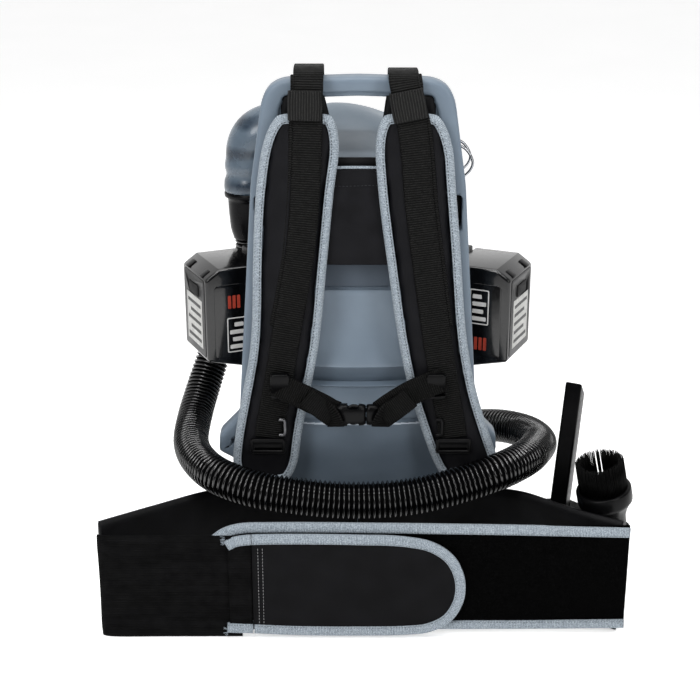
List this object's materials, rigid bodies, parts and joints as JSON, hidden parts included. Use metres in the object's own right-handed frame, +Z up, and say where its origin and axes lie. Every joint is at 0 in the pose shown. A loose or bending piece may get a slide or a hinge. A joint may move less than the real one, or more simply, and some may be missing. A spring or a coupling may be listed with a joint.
{
  "type": "backpack vacuum",
  "caption": "Cordless backpack vacuum with two side batteries, padded harness, front hose, waist belt and two cleaning tools.",
  "frame": {"origin": "centre of the base underside, on the floor the unit stands on", "axes": "+Z up, -Y towards the wearer, +X to the right in the wearer-side view"},
  "size_m": [0.5413, 0.3595, 0.55],
  "materials": {
    "plate_plastic": "satin moulded",
    "shell_plastic": "satin moulded",
    "smoke_plastic": "smoky translucent",
    "black_plastic": "fine satin",
    "gloss_black": "gloss",
    "rubber": "dull",
    "nylon_webbing": "ribbed webbing",
    "padded_nylon": "woven nylon with grey-blue piping",
    "belt_cloth": "elastic and brushed loop",
    "wire": "polished wire",
    "contacts": "bright",
    "filter_paper": "felted",
    "circuit": "coated board"
  },
  "bodies": {
    "frame": {"back_pad": "padded_nylon", "backplate": "plate_plastic", "battery_dock_left": "black_plastic", "battery_dock_right": "black_plastic", "battery_terminals_left": "contacts", "battery_terminals_right": "contacts", "belt_elastic": "belt_cloth", "belt_flap_base": "belt_cloth", "belt_loop_panel": "belt_cloth", "belt_wing_left": "padded_nylon", "belt_wing_right": "padded_nylon", "buckle_socket": "black_plastic", "canister_base": "black_plastic", "canister_body": "shell_plastic", "controller_board": "circuit", "exhaust_grille": "black_plastic", "filter_bag": "filter_paper", "filter_bag_collar": "black_plastic", "hose": "gloss_black", "hose_end_cuff": "black_plastic", "ladder_lock_left": "black_plastic", "ladder_lock_right": "black_plastic", "latch_bracket_left": "black_plastic", "latch_bracket_right": "black_plastic", "latch_lug_left": "black_plastic", "latch_lug_right": "black_plastic", "lid_dome": "plate_plastic", "lid_gasket": "rubber", "lower_webbing_left": "nylon_webbing", "lower_webbing_right": "nylon_webbing", "motor_filter": "filter_paper", "motor_housing": "black_plastic", "motor_seal": "rubber", "shoulder_pad_left": "padded_nylon", "shoulder_pad_right": "padded_nylon", "shoulder_webbing_left": "nylon_webbing", "shoulder_webbing_right": "nylon_webbing", "sternum_slider_left": "black_plastic", "sternum_slider_right": "black_plastic", "sternum_strap_left": "nylon_webbing", "sternum_strap_right": "nylon_webbing", "strap_keeper_left": "nylon_webbing", "strap_keeper_right": "nylon_webbing", "switch_housing": "black_plastic", "tool_holder": "nylon_webbing"},
    "elbow": {"elbow": "smoke_plastic"},
    "hose_cuff": {"hose_cuff": "black_plastic"},
    "left_latch": {"latch_bail_left": "wire"},
    "right_latch": {"latch_bail_right": "wire"},
    "left_battery": {"battery_left": "gloss_black"},
    "right_battery": {"battery_right": "gloss_black"},
    "left_battery_button": {"battery_button_left": "rubber"},
    "right_battery_button": {"battery_button_right": "rubber"},
    "fan": {"fan_impeller": "black_plastic"},
    "switch": {"switch_rocker": "rubber"},
    "belt_flap": {"belt_flap": "padded_nylon"},
    "buckle_tongue": {"buckle_tongue": "black_plastic"},
    "crevice_tool": {"crevice_tool": "black_plastic"},
    "dusting_brush": {"brush_body": "black_plastic", "brush_bristles": "rubber"}
  },
  "joints": [
    {"name": "elbow_swivel", "type": "hinge", "parent": "frame", "child": "elbow", "pos_m": [-0.0855, 0.06, 0.461], "axis": [1, 0, 0], "range_deg": [0, 30], "deforming": ["hose"]},
    {"name": "hose_cuff_swivel", "type": "hinge", "parent": "elbow", "child": "hose_cuff", "pos_m": [-0.1155, 0.06, 0.395], "axis": [0, 0, 1], "continuous": true},
    {"name": "left_latch_swing", "type": "hinge", "parent": "frame", "child": "left_latch", "pos_m": [-0.094, 0.01, 0.424], "axis": [0, -1, 0], "range_deg": [0, 60]},
    {"name": "right_latch_swing", "type": "hinge", "parent": "frame", "child": "right_latch", "pos_m": [0.094, 0.01, 0.424], "axis": [0, 1, 0], "range_deg": [0, 60]},
    {"name": "left_battery_slide", "type": "slide", "parent": "frame", "child": "left_battery", "axis": [0, 0, 1], "range_m": [0, 0.05]},
    {"name": "right_battery_slide", "type": "slide", "parent": "frame", "child": "right_battery", "axis": [0, 0, 1], "range_m": [0, 0.05]},
    {"name": "left_battery_button_press", "type": "slide", "parent": "left_battery", "child": "left_battery_button", "axis": [0.91, 0.4147, 0], "range_m": [0, 0.0025], "stiffness_N_per_m": 400},
    {"name": "right_battery_button_press", "type": "slide", "parent": "right_battery", "child": "right_battery_button", "axis": [-0.91, 0.4147, 0], "range_m": [0, 0.0025], "stiffness_N_per_m": 400},
    {"name": "fan_spin", "type": "hinge", "parent": "frame", "child": "fan", "pos_m": [0, 0.01, 0.12], "axis": [0, 0, 1], "continuous": true},
    {"name": "switch_rock", "type": "hinge", "parent": "frame", "child": "switch", "pos_m": [0.0933, 0.01, 0.196], "axis": [0, 1, 0], "range_deg": [0, 12]},
    {"name": "belt_flap_peel", "type": "hinge", "parent": "frame", "child": "belt_flap", "pos_m": [-0.10515, -0.2066, 0.06], "axis": [0, 0, -1], "range_deg": [0, 100]},
    {"name": "sternum_buckle_release", "type": "slide", "parent": "frame", "child": "buckle_tongue", "axis": [1, 0, 0], "range_m": [0, 0.022], "deforming": ["sternum_strap_right"]},
    {"name": "crevice_tool_lift", "type": "slide", "parent": "frame", "child": "crevice_tool", "axis": [0.0785, 0, 0.9969], "range_m": [0, 0.06]},
    {"name": "brush_lift", "type": "slide", "parent": "frame", "child": "dusting_brush", "axis": [-0.2071, -0.0872, 0.9744], "range_m": [0, 0.045]}
  ]
}
